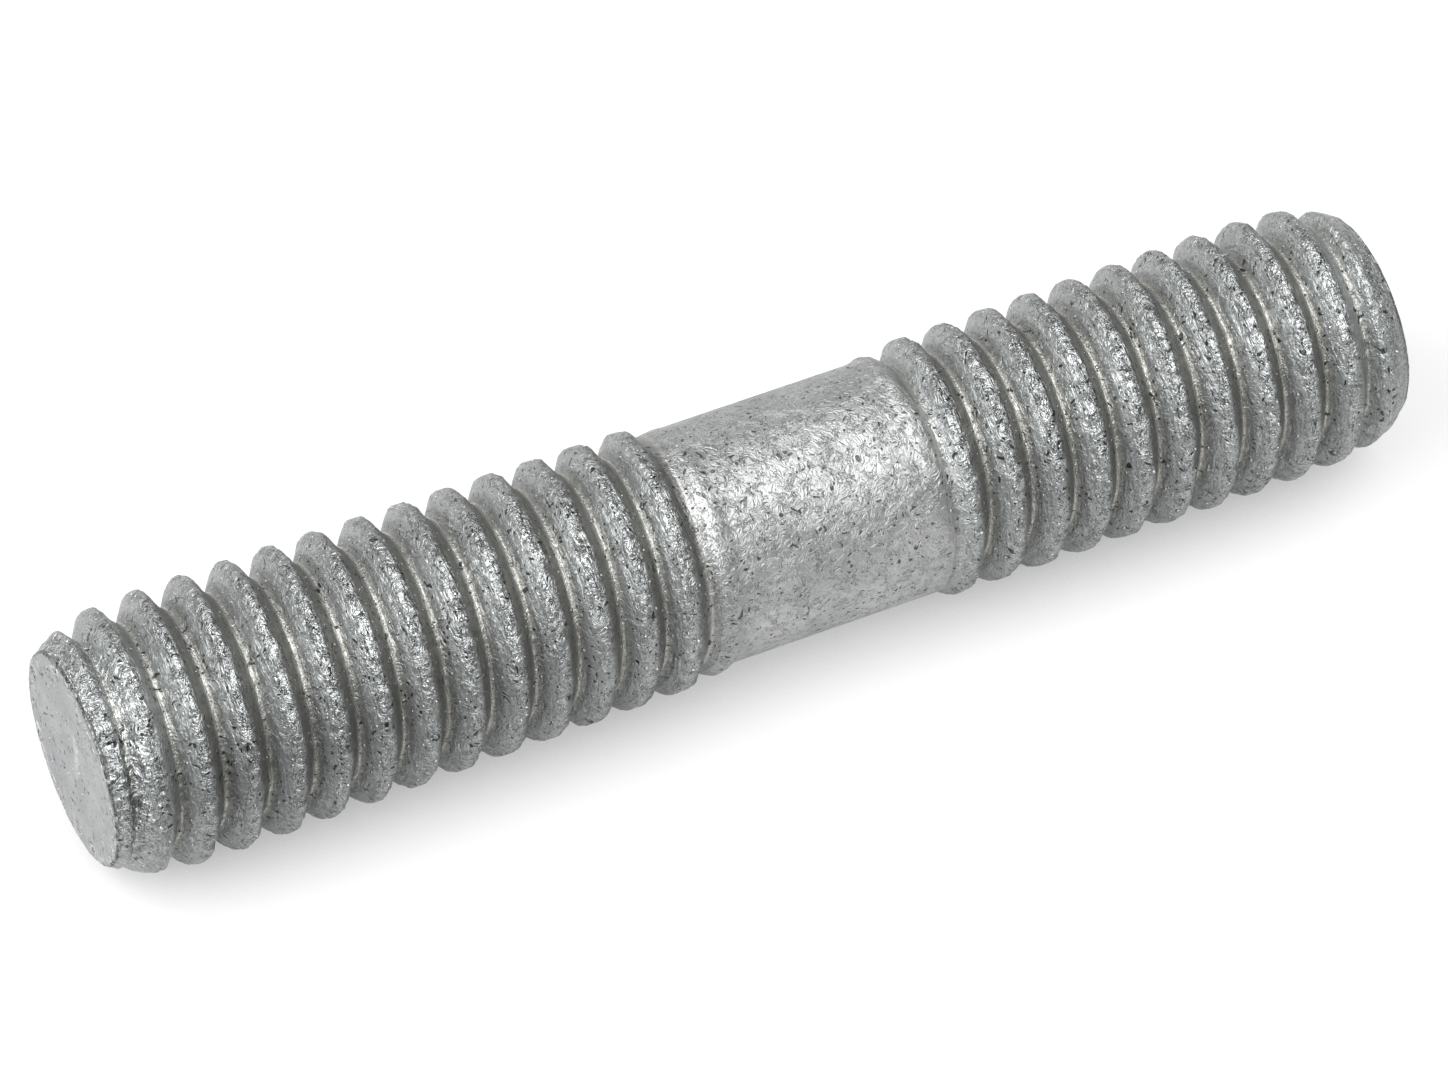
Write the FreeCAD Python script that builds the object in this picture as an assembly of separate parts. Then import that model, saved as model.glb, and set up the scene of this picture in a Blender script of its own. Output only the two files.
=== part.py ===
"""A double-end stud: two left-hand threads with a plain shank between, galvanised all over.

Millimetres. The stud stands on its lower end face, with its axis on +Z and the origin at the
middle of that face. It is one piece of steel, so it is one solid: a turned blank, a helical
groove cut in from each end, and a shallow dish in each end face.
"""
import FreeCAD, Part
import math
import os

# Over the zinc coat. The lower thread was rolled or coated a little smaller than the upper one. The
# coat rounds the 60 degree thread below it, and the groove between the crests is a plain V here
lower_major_diameter = 5.70
upper_major_diameter = 5.86
shank_diameter = 5.17
pitch = 1.0
thread_depth = 0.395
crest_width = 0.20

# Along the axis. Each thread runs from its end face to the plain shank and includes its run-out,
# where the crests fall to the shank and the groove climbs out of it
lower_thread_length = 11.2
shank_length = 4.4
upper_thread_length = 14.4
runout_length = 1.3

# The threads are rolled one at a time, so they don't share a start. Each angle is where the crest
# would cross the thread's own end face, anticlockwise from +X as seen from above
lower_crest_deg = 27.0
upper_crest_deg = 229.0

# Both ends: a chamfer, then crests that are not yet full until the lead-in ends
chamfer_width = 0.47
chamfer_length = 1.0
lead_in_drop = 0.14
lead_in_length = 1.2

# Rolling draws the skin of the bar outwards, which leaves each end face a little hollow
dish_diameter = 3.0
dish_depth = 0.12

# How far the groove's cutter stands out of the crests, and how clear of the shank it ends
cutter_proud = 0.25
cutter_clearance = 0.01

total_length = lower_thread_length + shank_length + upper_thread_length
lower_major_radius = lower_major_diameter / 2
upper_major_radius = upper_major_diameter / 2
shank_radius = shank_diameter / 2

foot = FreeCAD.Vector(0, 0, 0)
head = FreeCAD.Vector(0, 0, total_length)
sideways = FreeCAD.Vector(1, 0, 0)
up = FreeCAD.Vector(0, 0, 1)


def at(radius, height):
    """A point of a profile, in the plane that holds the axis and +X."""
    return FreeCAD.Vector(radius, 0, height)


def end_outline(thread_length, major_radius):
    """From an end face at height 0, over the chamfer and the crests, to the foot of the shank."""
    chamfer_top_radius = major_radius - lead_in_drop
    end_face_radius = chamfer_top_radius - chamfer_width
    return [
        at(0, 0),
        at(end_face_radius, 0),
        at(chamfer_top_radius, chamfer_length),
        at(major_radius, chamfer_length + lead_in_length),
        at(major_radius, thread_length - runout_length),
        at(shank_radius, thread_length),
    ]


def turned_blank():
    """The stud before it is threaded, turned from one outline that is closed along the axis."""
    lower = end_outline(lower_thread_length, lower_major_radius)
    upper = end_outline(upper_thread_length, upper_major_radius)
    upper = [at(p.x, total_length - p.z) for p in reversed(upper)]
    outline = Part.makePolygon(lower + upper + lower[:1])
    return Part.Face(outline).revolve(foot, up, 360)


def groove_path(straight_length, root_radius):
    """A left-hand helix at the root, which goes on as a widening one until it clears the shank."""
    helix = Part.makeLongHelix(pitch, straight_length, root_radius, 0, True)
    climb = max(shank_radius, root_radius) + cutter_clearance - root_radius
    cone_deg = math.degrees(math.atan2(climb, runout_length))
    runout = Part.makeLongHelix(pitch, runout_length, root_radius, cone_deg, True)
    runout.rotate(foot, up, -360 * straight_length / pitch)
    runout.translate(up * straight_length)
    return Part.Wire(helix.Edges + runout.Edges)


def groove_section(root_radius):
    """The groove's V, with its point on the root and its flanks carried on past the crests."""
    height = thread_depth + cutter_proud
    half_width = (pitch - crest_width) / 2 * height / thread_depth
    flank_top = root_radius + height
    return Part.makePolygon([
        at(root_radius, 0), at(flank_top, half_width), at(flank_top, -half_width), at(root_radius, 0)])


def thread_cutter(thread_length, major_radius, crest_deg):
    """What one thread's groove takes away, for a thread that starts at height 0 and runs up."""
    lead = 1.5 * pitch
    root_radius = major_radius - thread_depth
    path = groove_path(lead + thread_length - runout_length, root_radius)
    cutter = path.makePipeShell([groove_section(root_radius)], True, True)
    # The groove lies half a pitch from the crest, and its path starts below the end face
    groove_deg = crest_deg + 180 + 360 * lead / pitch
    cutter.rotate(foot, up, groove_deg)
    cutter.translate(up * -lead)
    return cutter


def dish_cutter():
    """The hollow in an end face at height 0, deepest at the axis."""
    return Part.makeCone(dish_diameter / 2, 0, dish_depth)


def turned_over(shape):
    """A shape made for the lower end, moved to the upper one. It stays left-handed."""
    shape.rotate(foot, sideways, 180)
    shape.translate(head)
    return shape


def threaded_pin():
    """The whole stud."""
    cutters = [
        thread_cutter(lower_thread_length, lower_major_radius, lower_crest_deg),
        turned_over(thread_cutter(upper_thread_length, upper_major_radius, -upper_crest_deg)),
        dish_cutter(),
        turned_over(dish_cutter()),
    ]
    return turned_blank().cut(cutters).Solids[0]


os.makedirs("parts", exist_ok=True)
stud = threaded_pin()
stud.exportStep("parts/threaded_pin.step")
print("threaded_pin", "valid", stud.isValid(), "volume", round(stud.Volume, 2), "mm3")
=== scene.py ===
"""The looks of a galvanised double-end stud, lying on a white table top as in the photograph.

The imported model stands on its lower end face, with its axis on +Z, and stays as it is. So the
table top is an upright plane beside it, and the camera is rolled to see the stud lying down.
Lengths are in millimetres up to the last step of each piece, and in metres from there on.
"""
import bpy
import math
from mathutils import Matrix, Vector


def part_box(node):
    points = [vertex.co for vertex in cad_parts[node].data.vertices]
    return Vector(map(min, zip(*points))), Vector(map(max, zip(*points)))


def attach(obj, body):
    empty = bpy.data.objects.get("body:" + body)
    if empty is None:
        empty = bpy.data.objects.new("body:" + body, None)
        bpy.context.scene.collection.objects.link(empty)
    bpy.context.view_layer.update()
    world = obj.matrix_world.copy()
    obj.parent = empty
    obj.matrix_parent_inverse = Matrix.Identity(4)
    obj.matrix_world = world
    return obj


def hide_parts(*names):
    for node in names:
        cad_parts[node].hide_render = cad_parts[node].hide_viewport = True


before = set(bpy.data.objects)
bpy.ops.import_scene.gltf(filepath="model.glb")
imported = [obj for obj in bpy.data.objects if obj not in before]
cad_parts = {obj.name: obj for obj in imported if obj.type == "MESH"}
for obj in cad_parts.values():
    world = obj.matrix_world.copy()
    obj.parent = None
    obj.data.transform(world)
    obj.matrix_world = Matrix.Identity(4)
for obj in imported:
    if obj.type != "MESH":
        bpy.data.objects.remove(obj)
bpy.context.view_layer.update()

MM = 0.001
TAU = 2 * math.pi

MATH = "ShaderNodeMath"
VECTOR = "ShaderNodeVectorMath"
RANGE = "ShaderNodeMapRange"
NOISE = "ShaderNodeTexNoise"
MIX = "ShaderNodeMix"

# Sizes of the zinc surface, in millimetres. The thread below the coat is M6 x 1, left-hand. An end
# drop is how far the end face's edge lies below the crests
low_corner, high_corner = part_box("threaded_pin")
LENGTH = (high_corner.z - low_corner.z) / MM
CAD_RADIUS = high_corner.x / MM
PITCH = 1.0
UPPER_CREST_RADIUS = CAD_RADIUS - 0.005
LOWER_CREST_RADIUS = 2.845
SHANK_RADIUS = 2.585
GROOVE_DEPTH = 0.56
LOWER_END_DROP = 0.54
UPPER_END_DROP = 0.62
RIM_RADIUS = 0.07
DISH_RADIUS = 1.9
DISH_DEPTH = 0.10

# Heights at which the threads end on the shank, and how far their crests and grooves take to fade
LOWER_THREAD_END = 11.4
UPPER_THREAD_END = 15.6
LOWER_CREST_FADE = 1.0
UPPER_CREST_FADE = 1.45
LOWER_GROOVE_FADE = 0.6
UPPER_GROOVE_FADE = 1.1
LOWER_GROOVE_START = 0.3
UPPER_GROOVE_START = 0.4

# Where each crest line crosses the plane that holds the axis and +X, in pitches above a full one
LOWER_CREST_PHASE = 0.076
UPPER_CREST_PHASE = 0.636

# The drop below the crest across one pitch, as a share of the groove's depth. It starts at a crest
# and goes up along the stud. The near flank is the longer one, and the far one falls off at once
THREAD_PROFILE = [
    (0, 0), (0.05, 0.015), (0.12, 0.08), (0.2, 0.23), (0.3, 0.47), (0.4, 0.73), (0.47, 0.93), (0.52, 1),
    (0.58, 0.97), (0.66, 0.85), (0.76, 0.62), (0.86, 0.31), (0.93, 0.09), (0.97, 0.015), (1, 0)]
# The crests' height over an end's first three pitches: the chamfer, the lead-in, then full height
END_PROFILE = [(0, 0), (0.16, 0.48), (0.34, 0.79), (0.5, 0.9), (0.66, 0.965), (0.85, 1), (1, 1)]
END_REACH = 3.0
END_CUT_ROUNDING = 0.04

# How far the crest lines wander to each side, and how deep the zinc's lumps go in each place. A
# crest is nibbled down to that share of the groove's depth
CREST_SWAY = 0.045
CHAMFER_LUMP_DEPTH = 0.035
CREST_NIBBLE_DEPTH = 0.02
CREST_NIBBLE_REACH = 0.3
EVEN_LUMP_DEPTH = 0.003
SWAYS_PER_MM = 2.4
LUMPS_PER_MM = 3.0
SWAY_NOISE = (0.3, 0.7)
LUMP_NOISE = (0.30, 0.74)

# A chamfer's finish is full up to the first height from its end face and gone at the second, and the
# lower chamfer has less of it. The flanks' painted shade, on the far side and at the foot, is gone at its
# first height and full at its second
CHAMFER_HEIGHTS = (0.5, 1.3)
LOWER_CHAMFER_SHARE = 0.4
PAINTED_SHADE_HEIGHTS = (1.0, 2.0)

# Zones of the finish across one pitch: from, to, and how soft. The first three are measured from
# the crest to both sides of it, and the others from the crest up to the next one
CREST_BAND = (-0.03, 0.21, 0.09)
# The crest edge band carries a broken painted shade on the crest's far side, which turns away from the light
CREST_EDGE_BAND = (-0.055, 0.02, 0.03)
# The far side band carries painted shade: that flank faces away from the lamps
FAR_SIDE_BAND = (-0.39, -0.03, 0.03)
# The root band carries a painted highlight, for the root's hollow catching the lamps
ROOT_BAND = (0.51, 0.58, 0.03)
ROOT_LINE_BAND = (0.465, 0.49, 0.015)
# The foot band carries painted shade, where the near flank faces the dark far flank across the groove
FOOT_BAND = (0.38, 0.47, 0.03)
# Zones of an end face, as shares of its rows from the edge to the axis, of which a third round the rim
RIM_LINE_BAND = (0.06, 0.27, 0.03)
FACE_RIM_FADE = (0.3, 0.55)

# How finely the surface is divided: rows lie along the helix and follow the crests. The first and
# last rows close the end faces, and the outermost of those round the rim. Points nearer to each
# other than the merge reach become one
ROWS_PER_PITCH = 16
CAP_ROWS = 12
ROUNDED_RIM_ROWS = 4
COLUMNS = 192
MERGE_REACH = 0.0004
SEED = 7.0

# How many of each of the zinc's marks go into a millimetre
BENDS_PER_MM = 3.1
WRINKLES_PER_MM = 8.5
GRAINS_PER_MM = 17.0
PIT_CELLS_PER_MM = 5.2
BEAD_CELLS_PER_MM = 3.6
PATCHES_PER_MM = 2.0
RUNS_PER_MM = 1.6
FURROW_BREAKS_PER_MM = 4.5
CRUMPLES_PER_MM = 2.3
CLOUDS_PER_MM = 0.9

# How far the wrinkles are bent aside, and how much closer the runs lie along the axis than round it
BEND_REACH = 0.5
RUN_SQUEEZE = [0.8, 0.8, 7.0]

# Pits, beads and furrows, in the units of their own patterns. A pit's radius is between those sizes,
# and its edge is soft that far each side. A bead or furrow is whole at the first value and gone at
# the second
PIT_SIZES = (0.09, 0.24)
PIT_EDGE = 0.03
BEAD_EDGE = (0.08, 0.19)
FURROW_EDGE = (0.01, 0.06)

# The values of a noise between which each thing comes in
PIT_GROWTH_NOISE = (0.36, 0.62)
PATCH_NOISE = (0.44, 0.52)
FURROW_BREAK_NOISE = (0.48, 0.53)
CLOUD_NOISE = (0.35, 0.65)
FLECK_NOISE = (0.50, 0.62)
RIM_GLINT_NOISE = (0.50, 0.58)
RIM_LINE_NOISE = (0.42, 0.60)
CREST_EDGE_SHADE_NOISE = (0.40, 0.52)
BRIGHT_NOISE = (0.3, 0.7)
DULL_NOISE = (0.35, 0.65)

# How strong a mark is in two places: on the flanks and the crests, or on the threads and the shank
WRINKLES_FLANK_CREST = (0.65, 1.0)
FURROWS_FLANK_CREST = (0.35, 0.75)
GRAIN_THREAD_SHANK = (0.6, 0.5)
FLECKS_THREAD_SHANK = (0.45, 0.35)
PITS_THREAD_SHANK = (0.9, 0.75)
# And in one place
WRINKLES_ON_SHANK = 0.27
WRINKLES_ON_FACE = 0.3
WRINKLES_IN_GLINT_PATCHES = 5.0
FURROWS_ON_SHANK = 0.48
FURROWS_ON_CHAMFER = 0.3
# How much of a zone it takes to have none of a mark there
ROOT_WITHOUT_FURROWS = 0.6
CHAMFER_WITHOUT_ROOT_LINE = 0.5

# How much of their tint the marks with uneven tints have: the painted glints at the rim, the rim line and the
# root line
RIM_GLINT_SHARE = 0.9
RIM_LINE_SHARES = (0.9, 0.2)
ROOT_LINE_SHARE = 0.7

# How far each mark stands out or goes in, in a unit that the bump makes BUMP_DEPTH high
FURROW_RELIEF = -0.4
PIT_RELIEF = -0.5
BEAD_RELIEF = 2.0
CRUMPLE_RELIEF = 3.4
RUN_RELIEF = 1.1
SEAM_RELIEF = 6.0
BUMP_DEPTH = 0.05

# The seam on the end faces: its reach from the middle, where in that it fades out, and how white its painted
# highlight is
SEAM_HALF_WIDTH = 0.22
SEAM_HALF_LENGTH = 0.8
SEAM_FADE = (0.3, 1.0)
SEAM_PAINTED_HIGHLIGHT = 0.5

# The zinc's colours, and that of the table's lacquer
DULL_ZINC = "#C2C4C4"
CLEAN_ZINC = "#D8D9D8"
SPUN_ZINC = "#BDC1C0"
FAR_SIDE_PAINTED_SHADE = "#84837D"
FLECK_GREY = "#4D5255"
FURROW_GREY = "#3A3D3F"
FOOT_PAINTED_SHADE = "#5F6163"
BEAD_GLINT_WHITE = "#F0F0EE"
END_FACE_GREY = "#8F9397"
HIGHLIGHT_WHITE = "#FAFAF8"
RIM_LINE_GREY = "#4A4C4D"
ROOT_PAINTED_HIGHLIGHT = "#DCDAD2"
ROOT_LINE_TAN = "#7A6F5C"
CREST_EDGE_PAINTED_SHADE = "#4B4E50"
PIT_GREY = "#303335"
LACQUER_GREY = "#A2A2A2"

# How rough the two kinds of skin are, from and to, and what a place adds to that or takes off
BRIGHT_ROUGHNESS = (0.17, 0.33)
DULL_ROUGHNESS = (0.26, 0.42)
SHANK_ROUGHNESS = 0.24
CHAMFER_ROUGHNESS = -0.1
BEAD_ROUGHNESS = -0.2
METALLIC_DULL_BRIGHT = (0.7, 0.95)

# The table top's upward direction, and the level direction along it that points to the camera's side
TABLE_UP = Vector((0.657, -0.7535, 0)).normalized()
TOWARDS_CAMERA_SIDE = Vector((TABLE_UP.y, -TABLE_UP.x, 0))
ALONG_STUD = Vector((0, 0, 1))

# The table's width and the standing cards' distance are in metres, and the other two in millimetres
TABLE_WIDTH = 1.6
CARD_DISTANCE = 0.5
CARD_REACH = 480.0
ROOM_SHADE_REACH = 40.0

# How bright the room and the table's own white are, and how far the stud dims the table beside it.
# It is dimmest where a spot sees that first share of the sky, and bright from the second on
ROOM_LIGHT = 0.18
TABLE_GLOW = 0.72
TABLE_GLOW_IN_METAL = 0.5
TABLE_SHADE = 0.45
TABLE_SHADE_IN_METAL = 0.22
OPEN_SKY = (0.1, 0.4)
WHITE = [1.0, 1.0, 1.0, 1.0]

# The photograph's camera, from a perspective fit to the stud's outline in it
SENSOR_WIDTH = 36.0
FOCAL_LENGTH = 245.77
CAMERA_PLACE = Vector((-0.119, -198.395, 77.540))
CAMERA_RIGHT = Vector((-0.32480, -0.28365, -0.90225))
CAMERA_UP = Vector((0.94578, -0.09730, -0.30988))


def add(tree, kind, *values, named=None, **settings):
    """Adds a node of that kind. The values go to its sockets in order, and the named ones by name:
    each is a number, a colour, a material, a node (its first output) or an output."""
    node = tree.nodes.new(kind)
    for name, value in settings.items():
        setattr(node, name, value)
    pairs = list(zip(node.inputs, values)) + [(node.inputs[n], v) for n, v in (named or {}).items()]
    for socket, value in pairs:
        if isinstance(value, bpy.types.Node):
            value = next(o for o in value.outputs if o.enabled)
        if isinstance(value, bpy.types.NodeSocket):
            tree.links.new(value, socket)
        else:
            socket.default_value = value
    return node


def cleared_tree(owner):
    """The node tree of a material or a world, switched on and emptied."""
    owner.use_nodes = True
    owner.node_tree.nodes.clear()
    return owner.node_tree


def new_object(name, data):
    """An object of that mesh, lamp or camera, in the scene."""
    thing = bpy.data.objects.new(name, data)
    bpy.context.scene.collection.objects.link(thing)
    return thing


def four_sided(name, corners, material):
    """A flat object with four corners."""
    mesh = bpy.data.meshes.new(name)
    mesh.from_pydata(corners, [], [(0, 1, 2, 3)])
    mesh.materials.append(material)
    return new_object(name, mesh)


def linear(hex_colour):
    """An sRGB hex colour as linear red, green, blue and alpha."""
    channels = [int(hex_colour[i:i + 2], 16) / 255 for i in (1, 3, 5)]
    return [c / 12.92 if c <= 0.04045 else ((c + 0.055) / 1.055) ** 2.4 for c in channels] + [1.0]


def shape_curve(node, points):
    """Sets a Float Curve node's points, each a pair from 0 to 1."""
    curve = node.mapping.curves[0]
    for point, place in zip(list(curve.points), (points[0], points[-1])):
        point.location = place
    for place in points[1:-1]:
        curve.points.new(*place)
    node.mapping.update()
    return node


def band(tree, value, low, high, soft):
    """1 where the value lies between low and high, with edges that are soft that far each side."""
    rise = add(tree, RANGE, value, low - soft, low + soft, 0.0, 1.0, interpolation_type="SMOOTHSTEP")
    fall = add(tree, RANGE, value, high - soft, high + soft, 1.0, 0.0, interpolation_type="SMOOTHSTEP")
    return add(tree, MATH, rise, fall, operation="MULTIPLY")


def around_axis(tree, cosine, sine, radius, height):
    """The point at that radius and height, turned round the axis."""
    x = add(tree, MATH, cosine, radius, operation="MULTIPLY")
    y = add(tree, MATH, sine, radius, operation="MULTIPLY")
    return add(tree, "ShaderNodeCombineXYZ", x, y, height)


def stud_tree(finish):
    """The stud's whole skin from one grid. Rows run along the helix and columns along the axis, and
    the first and last rows close the two end faces."""
    tree = bpy.data.node_groups.new("stud skin", "GeometryNodeTree")
    sizes = {
        "Length": LENGTH,
        "Pitch": PITCH,
        "Lower crest radius": LOWER_CREST_RADIUS,
        "Upper crest radius": UPPER_CREST_RADIUS,
        "Shank radius": SHANK_RADIUS,
        "Groove depth": GROOVE_DEPTH,
        "Lower end drop": LOWER_END_DROP,
        "Upper end drop": UPPER_END_DROP,
        "Rim radius": RIM_RADIUS,
        "Dish radius": DISH_RADIUS,
        "Dish depth": DISH_DEPTH,
        "Lower thread end": LOWER_THREAD_END,
        "Upper thread end": UPPER_THREAD_END,
        "Seed": SEED,
    }
    counts = {"Rows": (LENGTH / PITCH + 1) * ROWS_PER_PITCH + 2 * CAP_ROWS + 1, "Columns": COLUMNS + 1}
    for name, value in sizes.items():
        socket = tree.interface.new_socket(name, in_out="INPUT", socket_type="NodeSocketFloat")
        socket.default_value = value
    for name, value in counts.items():
        socket = tree.interface.new_socket(name, in_out="INPUT", socket_type="NodeSocketInt")
        socket.default_value = round(value)
    tree.interface.new_socket("Geometry", in_out="OUTPUT", socket_type="NodeSocketGeometry")
    size = tree.nodes.new("NodeGroupInput").outputs

    # Each point's turn round the axis, from 0 to 1, and its height before the ends are cut square
    grid = add(tree, "GeometryNodeMeshGrid", 1.0, 1.0, size["Rows"], size["Columns"])
    place = add(tree, "ShaderNodeSeparateXYZ", add(tree, "GeometryNodeInputPosition"))
    turn = add(tree, MATH, place.outputs["Y"], 0.5, operation="ADD")
    angle = add(tree, MATH, turn, TAU, operation="MULTIPLY")
    sine = add(tree, MATH, angle, operation="SINE")
    cosine = add(tree, MATH, angle, operation="COSINE")
    row_share = add(tree, MATH, place.outputs["X"], 0.5, operation="ADD")
    row_steps = add(tree, MATH, size["Rows"], 1.0, operation="SUBTRACT")
    row = add(tree, MATH, row_share, row_steps, operation="MULTIPLY")
    body_row = add(tree, MATH, row, CAP_ROWS, operation="SUBTRACT")
    run = add(tree, MATH, body_row, ROWS_PER_PITCH, operation="DIVIDE")
    run = add(tree, MATH, run, size["Pitch"], operation="MULTIPLY")
    lag = add(tree, MATH, turn, size["Pitch"], operation="MULTIPLY")
    raw_height = add(tree, MATH, run, lag, operation="SUBTRACT")
    top = add(tree, MATH, size["Length"], size["Rim radius"], operation="SUBTRACT")
    height = add(tree, "ShaderNodeClamp", raw_height, size["Rim radius"], top)

    # How far a point is across an end face, from 0 at its edge to 1 at the axis
    face_run = CAP_ROWS / ROWS_PER_PITCH * PITCH
    body_run = add(tree, MATH, size["Length"], size["Pitch"], operation="ADD")
    past_top = add(tree, MATH, run, body_run, operation="SUBTRACT")
    across_low = add(tree, RANGE, run, 0.0, -face_run, 0.0, 1.0)
    across_high = add(tree, RANGE, past_top, 0.0, face_run, 0.0, 1.0)
    across = add(tree, MATH, across_low, across_high, operation="MAXIMUM")
    on_face = add(tree, MATH, across, 0.0, operation="GREATER_THAN")
    rim_angle = add(tree, RANGE, across, 0.0, ROUNDED_RIM_ROWS / CAP_ROWS, 0.0, TAU / 4)
    inward = add(tree, RANGE, across, ROUNDED_RIM_ROWS / CAP_ROWS, 1.0, 1.0, 0.0)

    # The place across one pitch: 0 on a crest, to 1 on the next one up
    middle_height = (LOWER_THREAD_END + UPPER_THREAD_END) / 2
    in_upper = add(tree, MATH, height, middle_height, operation="GREATER_THAN")
    crest_phase = add(tree, RANGE, in_upper, 0.0, 1.0, LOWER_CREST_PHASE, UPPER_CREST_PHASE)
    winding = add(tree, MATH, height, size["Pitch"], operation="DIVIDE")
    winding = add(tree, MATH, winding, turn, operation="ADD")
    winding = add(tree, MATH, winding, crest_phase, operation="SUBTRACT")
    # The crest line wanders a little to both sides. A third of a pitch from it nothing does
    sway_spot = around_axis(tree, cosine, sine, CAD_RADIUS, height)
    sway = add(tree, NOISE, noise_dimensions="4D", named={
        "Vector": sway_spot, "W": size["Seed"], "Scale": SWAYS_PER_MM, "Detail": 1.0})
    sway = add(tree, RANGE, sway, *SWAY_NOISE, -CREST_SWAY, CREST_SWAY)
    crest_share = add(tree, MATH, winding, TAU, operation="MULTIPLY")
    crest_share = add(tree, MATH, crest_share, operation="COSINE")
    crest_share = add(tree, RANGE, crest_share, math.cos(TAU / 3), 1.0, 0.0, 1.0)
    sway = add(tree, MATH, sway, crest_share, operation="MULTIPLY")
    winding = add(tree, MATH, winding, sway, operation="ADD")
    across_pitch = add(tree, MATH, winding, operation="FRACT")
    drop_share = shape_curve(add(tree, "ShaderNodeFloatCurve", 1.0, across_pitch), THREAD_PROFILE)
    drop = add(tree, MATH, drop_share, size["Groove depth"], operation="MULTIPLY")
    lower_radius, upper_radius = size["Lower crest radius"], size["Upper crest radius"]
    crest_radius = add(tree, RANGE, in_upper, 0.0, 1.0, lower_radius, upper_radius)
    thread_radius = add(tree, MATH, crest_radius, drop, operation="SUBTRACT")
    rise = add(tree, MATH, thread_radius, size["Shank radius"], operation="SUBTRACT")

    # Crests and grooves fade into the shank
    from_low_end = add(tree, MATH, size["Lower thread end"], height, operation="SUBTRACT")
    from_high_end = add(tree, MATH, height, size["Upper thread end"], operation="SUBTRACT")
    fades = []
    for start_low, fade_low, start_high, fade_high in (
        (0.0, LOWER_CREST_FADE, 0.0, UPPER_CREST_FADE),
        (LOWER_GROOVE_START, LOWER_GROOVE_FADE, UPPER_GROOVE_START, UPPER_GROOVE_FADE),
    ):
        end_low = start_low + fade_low
        end_high = start_high + fade_high
        low = add(tree, RANGE, from_low_end, start_low, end_low, interpolation_type="SMOOTHSTEP")
        high = add(tree, RANGE, from_high_end, start_high, end_high, interpolation_type="SMOOTHSTEP")
        fades.append(add(tree, MATH, low, high, operation="MAXIMUM"))
    crest_fade, groove_fade = fades
    crest_part = add(tree, MATH, rise, 0.0, operation="MAXIMUM")
    crest_part = add(tree, MATH, crest_part, crest_fade, operation="MULTIPLY")
    groove_part = add(tree, MATH, rise, 0.0, operation="MINIMUM")
    groove_part = add(tree, MATH, groove_part, groove_fade, operation="MULTIPLY")
    skin = add(tree, MATH, crest_part, groove_part, operation="ADD")
    skin = add(tree, MATH, skin, size["Shank radius"], operation="ADD")

    # The ends' chamfers and lead-ins cut the crests off
    from_top = add(tree, MATH, size["Length"], height, operation="SUBTRACT")
    from_end = add(tree, MATH, height, from_top, operation="MINIMUM")
    end_share = add(tree, MATH, from_end, END_REACH, operation="DIVIDE")
    end_share = shape_curve(add(tree, "ShaderNodeFloatCurve", 1.0, end_share), END_PROFILE)
    end_drop = add(tree, RANGE, in_upper, 0.0, 1.0, size["Lower end drop"], size["Upper end drop"])
    end_face_radius = add(tree, MATH, crest_radius, end_drop, operation="SUBTRACT")
    envelope = add(tree, RANGE, end_share, 0.0, 1.0, end_face_radius, crest_radius)
    radius = add(tree, MATH, skin, envelope, END_CUT_ROUNDING, operation="SMOOTH_MIN")

    # Unevenness of the zinc, as lumps that are strongest on the chamfers and the crests
    lump_spot = around_axis(tree, cosine, sine, radius, height)
    lumps = add(tree, NOISE, noise_dimensions="4D", named={
        "Vector": lump_spot, "W": size["Seed"], "Scale": LUMPS_PER_MM, "Detail": 1.5, "Roughness": 0.6})
    chamfer_share = add(tree, RANGE, in_upper, 0.0, 1.0, LOWER_CHAMFER_SHARE, 1.0)
    on_chamfer = add(tree, RANGE, from_end, *CHAMFER_HEIGHTS, 1.0, 0.0)
    on_chamfer = add(tree, MATH, on_chamfer, chamfer_share, operation="MULTIPLY")
    on_crest = add(tree, RANGE, drop_share, 0.0, CREST_NIBBLE_REACH, 1.0, 0.0)
    on_crest = add(tree, MATH, on_crest, crest_fade, operation="MULTIPLY")
    lump_depth = add(tree, MATH, on_chamfer, CHAMFER_LUMP_DEPTH, operation="MULTIPLY")
    nibble_depth = add(tree, MATH, on_crest, CREST_NIBBLE_DEPTH, operation="MULTIPLY")
    depth = add(tree, MATH, lump_depth, nibble_depth, operation="ADD")
    depth = add(tree, MATH, depth, EVEN_LUMP_DEPTH, operation="ADD")
    hollow = add(tree, RANGE, lumps, *LUMP_NOISE, 0.0, 1.0, interpolation_type="SMOOTHSTEP")
    hollow = add(tree, MATH, hollow, depth, operation="MULTIPLY")
    radius = add(tree, MATH, radius, hollow, operation="SUBTRACT")

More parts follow.
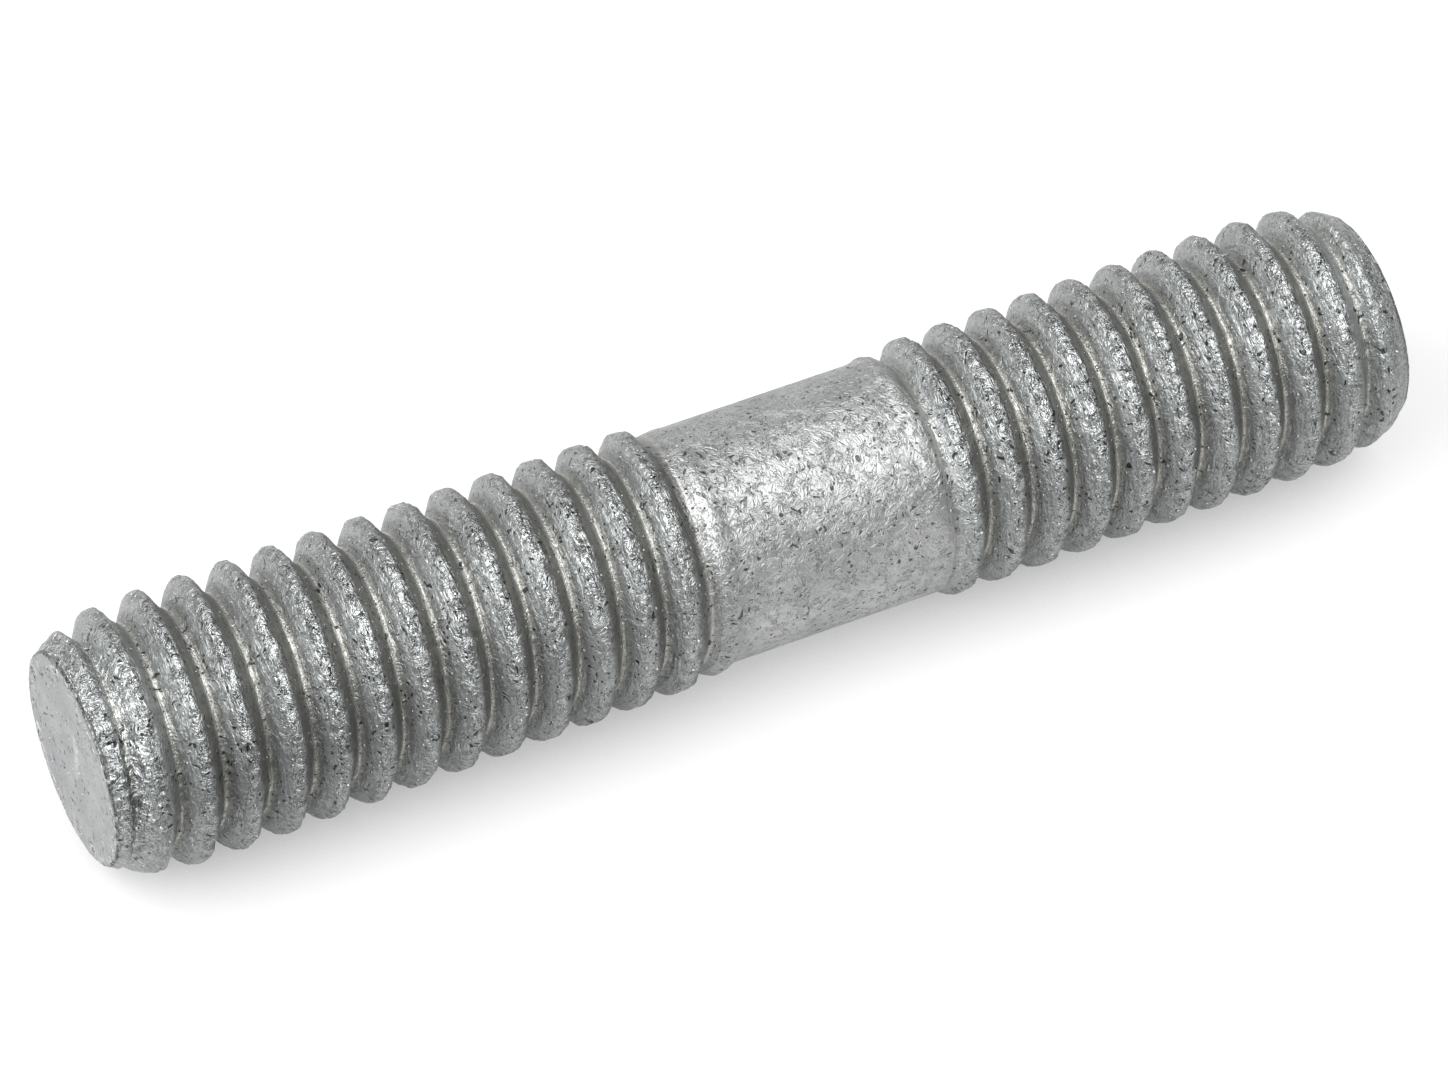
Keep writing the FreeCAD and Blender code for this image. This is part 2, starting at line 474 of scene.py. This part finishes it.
    # The rim's rounding, then the dished end face
    round_in = add(tree, MATH, rim_angle, operation="COSINE")
    round_in = add(tree, MATH, 1.0, round_in, operation="SUBTRACT")
    round_in = add(tree, MATH, round_in, size["Rim radius"], operation="MULTIPLY")
    radius = add(tree, MATH, radius, round_in, operation="SUBTRACT")
    radius = add(tree, MATH, radius, inward, operation="MULTIPLY")
    round_down = add(tree, MATH, rim_angle, operation="SINE")
    round_down = add(tree, MATH, round_down, size["Rim radius"], operation="MULTIPLY")
    dish = add(tree, RANGE, radius, size["Dish radius"], 0.0, 0.0, size["Dish depth"],
               interpolation_type="SMOOTHSTEP")
    dish = add(tree, MATH, dish, on_face, operation="MULTIPLY")
    face_shift = add(tree, MATH, dish, round_down, operation="SUBTRACT")
    toward_middle = add(tree, RANGE, in_upper, 0.0, 1.0, 1.0, -1.0)
    face_shift = add(tree, MATH, face_shift, toward_middle, operation="MULTIPLY")
    height = add(tree, MATH, height, face_shift, operation="ADD")
    spot = around_axis(tree, cosine, sine, radius, height)
    spot = add(tree, VECTOR, spot, named={"Scale": MM}, operation="SCALE")

    # What the finish needs to know of each point, kept while the grid is still flat
    from_crest = add(tree, MATH, winding, 0.5, -0.5, operation="WRAP")
    painted_shade_fade = add(tree, RANGE, from_end, *PAINTED_SHADE_HEIGHTS, 0.0, 1.0)
    off_face = add(tree, MATH, 1.0, on_face, operation="SUBTRACT")
    thread = add(tree, MATH, crest_fade, off_face, operation="MULTIPLY")
    # Painted shade on the far side and at the foot, faded in away from the ends
    far_side_painted_shade = add(tree, MATH, band(tree, from_crest, *FAR_SIDE_BAND), painted_shade_fade, operation="MULTIPLY")
    foot = add(tree, MATH, band(tree, across_pitch, *FOOT_BAND), painted_shade_fade, operation="MULTIPLY")
    face_rim = add(tree, RANGE, across, *FACE_RIM_FADE, 1.0, 0.0)
    zones = {
        "crest": (band(tree, from_crest, *CREST_BAND), thread),
        "crest_edge": (band(tree, from_crest, *CREST_EDGE_BAND), thread),
        "far_side_painted_shade": (far_side_painted_shade, thread),
        "root": (band(tree, across_pitch, *ROOT_BAND), thread),
        "root_line": (band(tree, across_pitch, *ROOT_LINE_BAND), thread),
        "foot": (foot, thread),
        "thread": (thread, 1.0),
        "chamfer": (on_chamfer, off_face),
        "end_face": (on_face, 1.0),
        "face_rim": (face_rim, on_face),
        "rim_line": (band(tree, across, *RIM_LINE_BAND), on_face),
    }
    mesh = grid
    for name, (zone, part) in zones.items():
        zone = add(tree, MATH, zone, part, operation="MULTIPLY")
        mesh = add(tree, "GeometryNodeStoreNamedAttribute", mesh,
                   named={"Name": name, "Value": zone}, data_type="FLOAT", domain="POINT")
    mesh = add(tree, "GeometryNodeSetPosition", mesh, named={"Position": spot})
    mesh = add(tree, "GeometryNodeMergeByDistance", mesh, named={"Distance": MERGE_REACH * MM})
    mesh = add(tree, "GeometryNodeFlipFaces", mesh)
    mesh = add(tree, "GeometryNodeSetShadeSmooth", mesh)
    mesh = add(tree, "GeometryNodeRealizeInstances", mesh)
    mesh = add(tree, "GeometryNodeSetMaterial", mesh, named={"Material": finish})
    add(tree, "NodeGroupOutput", mesh)
    return tree, {**sizes, **counts}


def made_by_nodes(name, tree, inputs):
    """A plain mesh object of what a tree makes, with each input set by its socket's identifier."""
    maker = new_object(name + "_maker", bpy.data.meshes.new(name + "_start"))
    modifier = maker.modifiers.new("maker", "NODES")
    modifier.node_group = tree
    for socket in tree.interface.items_tree:
        if socket.in_out == "INPUT":
            value = inputs[socket.name]
            modifier[socket.identifier] = round(value) if socket.socket_type == "NodeSocketInt" else value
    made = maker.evaluated_get(bpy.context.evaluated_depsgraph_get())
    mesh = bpy.data.meshes.new_from_object(made)
    maker.modifiers.remove(modifier)
    bpy.data.objects.remove(maker)
    mesh.name = name
    return new_object(name, mesh)


def galvanised_steel():
    """Hot-dip galvanised steel: dull grey zinc that froze wrinkled and pitted on the shank, was spun
    thin and smooth on the flanks, and has bright nibbled crests with dark specks between them."""
    material = bpy.data.materials.new("hot-dip galvanised steel")
    tree = cleared_tree(material)

    # Millimetres, and the zones that a point lies in
    place = add(tree, "ShaderNodeTexCoord").outputs["Object"]
    place = add(tree, VECTOR, place, named={"Scale": 1 / MM}, operation="SCALE")
    names = ("crest", "crest_edge", "far_side_painted_shade", "root", "root_line", "foot", "thread",
             "chamfer", "end_face", "face_rim", "rim_line")
    zone = {name: add(tree, "ShaderNodeAttribute", attribute_name=name).outputs["Fac"] for name in names}
    rough_skin = add(tree, MATH, zone["crest"], zone["chamfer"], operation="MAXIMUM")
    shank = add(tree, MATH, 1.0, zone["thread"], operation="SUBTRACT")
    body = add(tree, MATH, 1.0, zone["end_face"], operation="SUBTRACT")

    # Wrinkles 0.06 mm wide that the zinc froze into, bent every way by a coarser noise. The grain on
    # them is drawn 0.03 mm wide, because a finer one wouldn't show
    bend = add(tree, NOISE, place, named={"Scale": BENDS_PER_MM, "Detail": 1.0})
    bend = add(tree, VECTOR, bend.outputs["Color"], [0.5, 0.5, 0.5], operation="SUBTRACT")
    bend = add(tree, VECTOR, bend, named={"Scale": BEND_REACH}, operation="SCALE")
    bent = add(tree, VECTOR, place, bend, operation="ADD")
    wrinkles = add(tree, NOISE, bent, named={
        "Scale": WRINKLES_PER_MM, "Detail": 2.0, "Roughness": 0.55, "Distortion": 0.9})
    grain = add(tree, NOISE, bent, named={
        "Scale": GRAINS_PER_MM, "Detail": 2.0, "Roughness": 0.6, "Distortion": 0.5})

    # Flux pits 0.06 mm across, about one to each 0.3 mm, which are larger in patches
    cells = add(tree, "ShaderNodeTexVoronoi", bent, named={"Scale": PIT_CELLS_PER_MM, "Randomness": 1.0})
    patches = add(tree, NOISE, place, named={"Scale": PATCHES_PER_MM, "Detail": 1.0})
    pit_size = add(tree, RANGE, patches, *PIT_GROWTH_NOISE, *PIT_SIZES)
    pits = add(tree, MATH, cells.outputs["Distance"], pit_size, operation="SUBTRACT")
    pits = add(tree, RANGE, pits, -PIT_EDGE, PIT_EDGE, 1.0, 0.0, interpolation_type="SMOOTHSTEP")

    # Tiny beads of zinc 0.08 mm across on threads and end faces, about one to each half millimetre. They
    # stand out in relief, and their near-white colour is a painted glint
    cells = add(tree, "ShaderNodeTexVoronoi", place, named={"Scale": BEAD_CELLS_PER_MM, "Randomness": 1.0})
    beads = add(tree, RANGE, cells.outputs["Distance"], *BEAD_EDGE, 1.0, 0.0, interpolation_type="SMOOTHSTEP")
    off_shank = add(tree, MATH, zone["thread"], zone["end_face"], operation="MAXIMUM")
    beads = add(tree, MATH, beads, off_shank, operation="MULTIPLY")

    # Shallow runs round the flanks, about 0.8 mm long and 0.1 mm apart, where the coat was spun off
    runs_place = add(tree, VECTOR, place, RUN_SQUEEZE, operation="MULTIPLY")
    runs = add(tree, NOISE, runs_place, named={
        "Scale": RUNS_PER_MM, "Detail": 3.0, "Roughness": 0.6, "Distortion": 0.4})

    # Broken furrows about 0.02 mm wide that wind between the wrinkles
    furrows = add(tree, MATH, wrinkles, 0.5, operation="SUBTRACT")
    furrows = add(tree, MATH, furrows, operation="ABSOLUTE")
    furrows = add(tree, RANGE, furrows, *FURROW_EDGE, 1.0, 0.0, interpolation_type="SMOOTHSTEP")
    breaks = add(tree, NOISE, place, named={"Scale": FURROW_BREAKS_PER_MM, "Detail": 2.0})
    breaks = add(tree, RANGE, breaks, *FURROW_BREAK_NOISE, 0.0, 1.0)
    furrows = add(tree, MATH, furrows, breaks, operation="MULTIPLY")

    # A seam about a millimetre long across the middle of each end face, where the bar was cropped. Its relief
    # is bump, and its whitening further down is a painted highlight
    level, upright = (
        add(tree, VECTOR, place, direction, operation="DOT_PRODUCT").outputs["Value"]
        for direction in (TOWARDS_CAMERA_SIDE / SEAM_HALF_WIDTH, TABLE_UP / SEAM_HALF_LENGTH))
    seam = add(tree, "ShaderNodeCombineXYZ", level, upright)
    seam = add(tree, VECTOR, seam, operation="LENGTH").outputs["Value"]
    seam = add(tree, RANGE, seam, *SEAM_FADE, 1.0, 0.0, interpolation_type="SMOOTHSTEP")
    seam = add(tree, MATH, seam, zone["end_face"], operation="MULTIPLY")

    # How strong the wrinkles are on the flanks, the crests, the shank and the end faces
    wrinkle_weight = add(tree, RANGE, rough_skin, 0.0, 1.0, *WRINKLES_FLANK_CREST)
    on_shank = add(tree, MATH, shank, WRINKLES_ON_SHANK, operation="MULTIPLY")
    wrinkle_weight = add(tree, MATH, wrinkle_weight, on_shank, operation="MAXIMUM")
    face_weight = add(tree, RANGE, patches, *PATCH_NOISE, 0.0, WRINKLES_IN_GLINT_PATCHES)
    face_weight = add(tree, MATH, face_weight, zone["face_rim"], operation="MULTIPLY")
    least_weight = add(tree, RANGE, body, 0.0, 1.0, WRINKLES_ON_FACE, 1.0)
    face_weight = add(tree, MATH, face_weight, least_weight, operation="MAXIMUM")
    wrinkle_weight = add(tree, MATH, wrinkle_weight, face_weight, operation="MULTIPLY")

    # And how strong the furrows are, which the chamfers have few of and the roots none
    furrow_weight = add(tree, RANGE, rough_skin, 0.0, 1.0, *FURROWS_FLANK_CREST)
    on_shank = add(tree, MATH, shank, FURROWS_ON_SHANK, operation="MULTIPLY")
    furrow_weight = add(tree, MATH, furrow_weight, on_shank, operation="MAXIMUM")
    on_chamfer = add(tree, RANGE, zone["chamfer"], 0.0, 1.0, 1.0, FURROWS_ON_CHAMFER)
    off_root = add(tree, RANGE, zone["root"], 0.0, ROOT_WITHOUT_FURROWS, 1.0, 0.0)
    for weight in (on_chamfer, face_weight, off_root):
        furrow_weight = add(tree, MATH, furrow_weight, weight, operation="MULTIPLY")
    furrows = add(tree, MATH, furrows, furrow_weight, operation="MULTIPLY")

    # Relief. The chamfers are crumpled like foil, in folds 0.4 mm apart. A line says what stands out
    # or goes in, where it does and how far
    crumples = add(tree, NOISE, bent, named={
        "Scale": CRUMPLES_PER_MM, "Detail": 1.5, "Roughness": 0.5, "Distortion": 1.0})
    relief = add(tree, MATH, wrinkles, wrinkle_weight, operation="MULTIPLY")
    for mark, weight, strength in (
        (grain, wrinkle_weight, add(tree, RANGE, shank, 0.0, 1.0, *GRAIN_THREAD_SHANK)),
        (furrows, 1.0, FURROW_RELIEF),
        (pits, 1.0, PIT_RELIEF),
        (beads, 1.0, BEAD_RELIEF),
        (crumples, zone["chamfer"], CRUMPLE_RELIEF),
        (runs, zone["thread"], RUN_RELIEF),
        (wrinkles, seam, SEAM_RELIEF),
    ):
        weighted = add(tree, MATH, mark, weight, operation="MULTIPLY")
        relief = add(tree, MATH, weighted, strength, relief, operation="MULTIPLY_ADD")
    bump = add(tree, "ShaderNodeBump", named={
        "Strength": 1.0, "Distance": BUMP_DEPTH * MM, "Height": relief})

    # Where the tints lie. The flecks are in the grain, and the end faces have patches of painted glints at
    # the rim, a seam with a painted highlight and a dark broken line round them
    flecks = add(tree, RANGE, grain, *FLECK_NOISE, 0.0, 1.0)
    flecks = add(tree, MATH, flecks, wrinkle_weight, operation="MULTIPLY")
    fleck_share = add(tree, RANGE, shank, 0.0, 1.0, *FLECKS_THREAD_SHANK)
    rim_and_seam_highlights = add(tree, RANGE, grain, *RIM_GLINT_NOISE, 0.0, RIM_GLINT_SHARE)
    rim_and_seam_highlights = add(tree, MATH, rim_and_seam_highlights, zone["face_rim"], operation="MULTIPLY")
    rim_glint_patch = add(tree, RANGE, patches, *PATCH_NOISE, 0.0, 1.0)
    rim_and_seam_highlights = add(tree, MATH, rim_and_seam_highlights, rim_glint_patch, operation="MULTIPLY")
    seam_painted_highlight = add(tree, MATH, seam, SEAM_PAINTED_HIGHLIGHT, operation="MULTIPLY")
    rim_and_seam_highlights = add(tree, MATH, rim_and_seam_highlights, seam_painted_highlight, operation="MAXIMUM")
    rim_line_share = add(tree, RANGE, wrinkles, *RIM_LINE_NOISE, *RIM_LINE_SHARES)
    root_line_share = add(tree, RANGE, zone["chamfer"], 0.0, CHAMFER_WITHOUT_ROOT_LINE, ROOT_LINE_SHARE, 0.0)
    # A broken painted shade along the crests' far edge, where the surface turns away from the light
    crest_edge_painted_shade = add(tree, RANGE, wrinkles, *CREST_EDGE_SHADE_NOISE, 1.0, 0.0)
    crest_edge_painted_shade = add(tree, MATH, crest_edge_painted_shade, zone["crest_edge"], operation="MULTIPLY")
    pit_share = add(tree, RANGE, shank, 0.0, 1.0, *PITS_THREAD_SHANK)

    # Colour: clouds about a millimetre across, then each tint over the ones before it. A line says
    # where the tint lies, how strong it is and which one it is
    cloud = add(tree, NOISE, place, named={"Scale": CLOUDS_PER_MM, "Detail": 4.0, "Roughness": 0.6})
    cloud = add(tree, RANGE, cloud, *CLOUD_NOISE, 0.0, 1.0)
    colour = linear(DULL_ZINC)
    for mark, strength, tint in (
        (cloud, 1.0, CLEAN_ZINC),
        (zone["thread"], 0.85, SPUN_ZINC),
        # Painted shade on the far flanks, which face away from the lamps
        (zone["far_side_painted_shade"], 0.85, FAR_SIDE_PAINTED_SHADE),
        (flecks, fleck_share, FLECK_GREY),
        (furrows, 1.0, FURROW_GREY),
        # Painted shade at the near flank's foot, which faces the dark far flank across the groove
        (zone["foot"], 0.35, FOOT_PAINTED_SHADE),
        # The beads' near-white is a painted glint
        (beads, 0.9, BEAD_GLINT_WHITE),
        (zone["end_face"], 0.25, END_FACE_GREY),
        # Painted glints in patches at the end faces' rims, and a painted highlight along the seam
        (rim_and_seam_highlights, 1.0, HIGHLIGHT_WHITE),
        (zone["rim_line"], rim_line_share, RIM_LINE_GREY),
        # A painted highlight along the grooves' roots
        (zone["root"], 0.7, ROOT_PAINTED_HIGHLIGHT),
        (zone["root_line"], root_line_share, ROOT_LINE_TAN),
        # Painted shade on the crests' far edges
        (crest_edge_painted_shade, 0.5, CREST_EDGE_PAINTED_SHADE),
        (pits, pit_share, PIT_GREY),
    ):
        share = add(tree, MATH, mark, strength, operation="MULTIPLY")
        colour = add(tree, MIX, share, named={"A": colour, "B": linear(tint)}, data_type="RGBA")

    # The crests and chamfers are the smoothest metal, the flanks have a duller skin with less metal
    # in it, and the shank is the roughest
    bright_skin = add(tree, MATH, rough_skin, shank, operation="MAXIMUM")
    bright_skin = add(tree, MATH, bright_skin, zone["root"], operation="MAXIMUM")
    bright = add(tree, RANGE, wrinkles, *BRIGHT_NOISE, *BRIGHT_ROUGHNESS)
    bright = add(tree, MATH, shank, SHANK_ROUGHNESS, bright, operation="MULTIPLY_ADD")
    bright = add(tree, MATH, zone["chamfer"], CHAMFER_ROUGHNESS, bright, operation="MULTIPLY_ADD")
    dull = add(tree, RANGE, runs, *DULL_NOISE, *DULL_ROUGHNESS)
    roughness = add(tree, MIX, bright_skin, named={"A": dull, "B": bright}, data_type="FLOAT")
    roughness = add(tree, MATH, beads, BEAD_ROUGHNESS, roughness, operation="MULTIPLY_ADD")
    metal = add(tree, RANGE, bright_skin, 0.0, 1.0, *METALLIC_DULL_BRIGHT)
    shader = add(tree, "ShaderNodeBsdfPrincipled", named={
        "Metallic": metal, "Base Color": colour, "Roughness": roughness, "Normal": bump})
    add(tree, "ShaderNodeOutputMaterial", shader)
    return material


def shows_background(tree, ray):
    """1 for the rays that show the white behind: the camera's, and those off metal and through glass."""
    seen = add(tree, MATH, ray.outputs["Is Camera Ray"], ray.outputs["Is Glossy Ray"], operation="MAXIMUM")
    return add(tree, MATH, seen, ray.outputs["Is Transmission Ray"], operation="MAXIMUM")


def white_table():
    """A white lacquered table top, matt and even. Part of its white is the lamps' light on it. The
    rest stands for a bright room's, and is its own: it dims close to the stud, which would shade it
    there. From below the table isn't seen."""
    material = bpy.data.materials.new("white lacquered table top")
    tree = cleared_tree(material)
    lacquer = add(tree, "ShaderNodeBsdfDiffuse", linear(LACQUER_GREY))
    ray = add(tree, "ShaderNodeLightPath")
    camera_ray = ray.outputs["Is Camera Ray"]
    open_sky = add(tree, "ShaderNodeAmbientOcclusion", named={"Distance": ROOM_SHADE_REACH * MM}, samples=4)
    darkest = add(tree, RANGE, camera_ray, 0.0, 1.0, TABLE_SHADE_IN_METAL, TABLE_SHADE)
    open_share = add(tree, RANGE, open_sky.outputs["AO"], *OPEN_SKY, darkest, 1.0)
    glow_strength = add(tree, MATH, shows_background(tree, ray), open_share, operation="MULTIPLY")
    glow_level = add(tree, RANGE, camera_ray, 0.0, 1.0, TABLE_GLOW_IN_METAL, TABLE_GLOW)
    glow_strength = add(tree, MATH, glow_strength, glow_level, operation="MULTIPLY")
    glow = add(tree, "ShaderNodeEmission", WHITE, glow_strength)
    above = add(tree, "ShaderNodeAddShader", lacquer, glow)
    below = add(tree, "ShaderNodeBsdfTransparent")
    side = add(tree, "ShaderNodeNewGeometry").outputs["Backfacing"]
    add(tree, "ShaderNodeOutputMaterial", add(tree, "ShaderNodeMixShader", side, above, below))
    return material


def add_world():
    """A white room, with a plain level of light for what is matt."""
    world = bpy.data.worlds.new("white room")
    bpy.context.scene.world = world
    tree = cleared_tree(world)
    ray = add(tree, "ShaderNodeLightPath")
    strength = add(tree, RANGE, shows_background(tree, ray), 0.0, 1.0, ROOM_LIGHT, 1.0)
    add(tree, "ShaderNodeOutputWorld", add(tree, "ShaderNodeBackground", WHITE, strength))


def add_table():
    """The plane that the stud's crests touch."""
    middle = -CAD_RADIUS * MM * TABLE_UP + ALONG_STUD * LENGTH * MM / 2
    half = TABLE_WIDTH / 2
    corners = [middle + half * (along * ALONG_STUD + aside * TOWARDS_CAMERA_SIDE)
               for along, aside in ((1, 1), (-1, 1), (-1, -1), (1, -1))]
    table = four_sided("table_top", corners, white_table())
    if table.data.polygons[0].normal.dot(TABLE_UP) < 0:
        table.data.flip_normals()


def grey_card(name, corners, brightness):
    """A card of painted board, which gives the zinc an even grey to reflect. Nothing else sees it."""
    material = bpy.data.materials.new("grey card " + name)
    tree = cleared_tree(material)
    add(tree, "ShaderNodeOutputMaterial", add(tree, "ShaderNodeEmission", WHITE, brightness))
    card = four_sided(name, corners, material)
    card.visible_camera = False
    card.visible_diffuse = False
    card.visible_shadow = False
    card.visible_transmission = False


def studio_card(name, towards, start, end, low_deg, high_deg, brightness):
    """A card that stands CARD_DISTANCE away in that direction, from one angle above the table top to
    another. Start and end are in card distances to the side of its middle, with the stud's upper end
    on the plus side."""
    aside = towards.cross(TABLE_UP)
    if aside.z < 0:
        aside.negate()
    middle = ALONG_STUD * LENGTH * MM / 2
    corners = []
    for height_deg, side in ((low_deg, start), (low_deg, end), (high_deg, end), (high_deg, start)):
        lift = math.radians(height_deg)
        reach = towards * math.cos(lift) + TABLE_UP * math.sin(lift)
        corners.append(middle + CARD_DISTANCE * (reach + side * aside))
    grey_card(name, corners, brightness)


def table_shade_card(name, lift, near, start, end, brightness):
    """A card that lies that far above the table top, on the camera's side. It begins that near to
    the stud's axis, and lies between two heights along the stud. It is painted shade on the table, which only
    the zinc's reflections see."""
    corners = []
    for height, aside in ((start, near), (end, near), (end, CARD_REACH), (start, CARD_REACH)):
        level = aside * TOWARDS_CAMERA_SIDE + height * ALONG_STUD
        corners.append(MM * (level + (lift - CAD_RADIUS) * TABLE_UP))
    grey_card(name, corners, brightness)


def add_cards():
    """The darker sides of the room: the front in two parts, the back and the lower end. And painted
    shade on the table in front of the stud and past its near end, which only the zinc's reflections see."""
    studio_card("front_card", TOWARDS_CAMERA_SIDE,
                start=-1.6, end=0.12, low_deg=1, high_deg=36, brightness=0.23)
    studio_card("camera_side_card", TOWARDS_CAMERA_SIDE,
                start=0.12, end=1.6, low_deg=1, high_deg=48, brightness=0.12)
    studio_card("back_card", -TOWARDS_CAMERA_SIDE,
                start=-1.6, end=1.6, low_deg=1, high_deg=62, brightness=0.38)
    table_shade_card("front_table_shade_card",
               lift=0.5, near=13.0, start=-CARD_REACH, end=CARD_REACH, brightness=0.40)
    table_shade_card("near_end_table_shade_card",
               lift=0.6, near=5.0, start=22.0, end=CARD_REACH, brightness=0.15)
    studio_card("lower_end_card", -ALONG_STUD,
                start=-1.7, end=1.7, low_deg=1, high_deg=58, brightness=0.12)


def soft_box(name, up, towards, along, energy, width_deg):
    """A broad lamp far away, that much up from the table, to the camera's side and along the stud."""
    lamp = bpy.data.lights.new(name, "SUN")
    lamp.energy = energy
    lamp.angle = math.radians(width_deg)
    direction = up * TABLE_UP + towards * TOWARDS_CAMERA_SIDE + along * ALONG_STUD
    light = new_object(name, lamp)
    light.rotation_euler = direction.to_track_quat("Z", "Y").to_euler()


def add_lamps():
    """A soft box overhead, a little to the camera's side, and a narrower, stronger one past the
    near end."""
    soft_box("overhead_box", up=1.0, towards=0.24, along=0.02, energy=1.4, width_deg=66)
    soft_box("near_end_box", up=0.68, towards=0.05, along=0.70, energy=2.3, width_deg=52)


def add_camera():
    """The photograph's view."""
    lens = bpy.data.cameras.new("photo_view")
    lens.sensor_width = SENSOR_WIDTH
    lens.lens = FOCAL_LENGTH
    lens.clip_start = 0.01
    lens.clip_end = 10
    camera = new_object("photo_view", lens)
    back = CAMERA_RIGHT.cross(CAMERA_UP)
    turned = Matrix((CAMERA_RIGHT, CAMERA_UP, back)).transposed().to_4x4()
    camera.matrix_world = Matrix.Translation(CAMERA_PLACE * MM) @ turned
    bpy.context.scene.camera = camera


tree, sizes = stud_tree(galvanised_steel())
stud = made_by_nodes("galvanised_stud", tree, sizes)
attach(stud, "root")
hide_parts("threaded_pin")

add_table()
add_world()
add_cards()
add_lamps()
add_camera()
bpy.context.scene.view_settings.view_transform = "Standard"
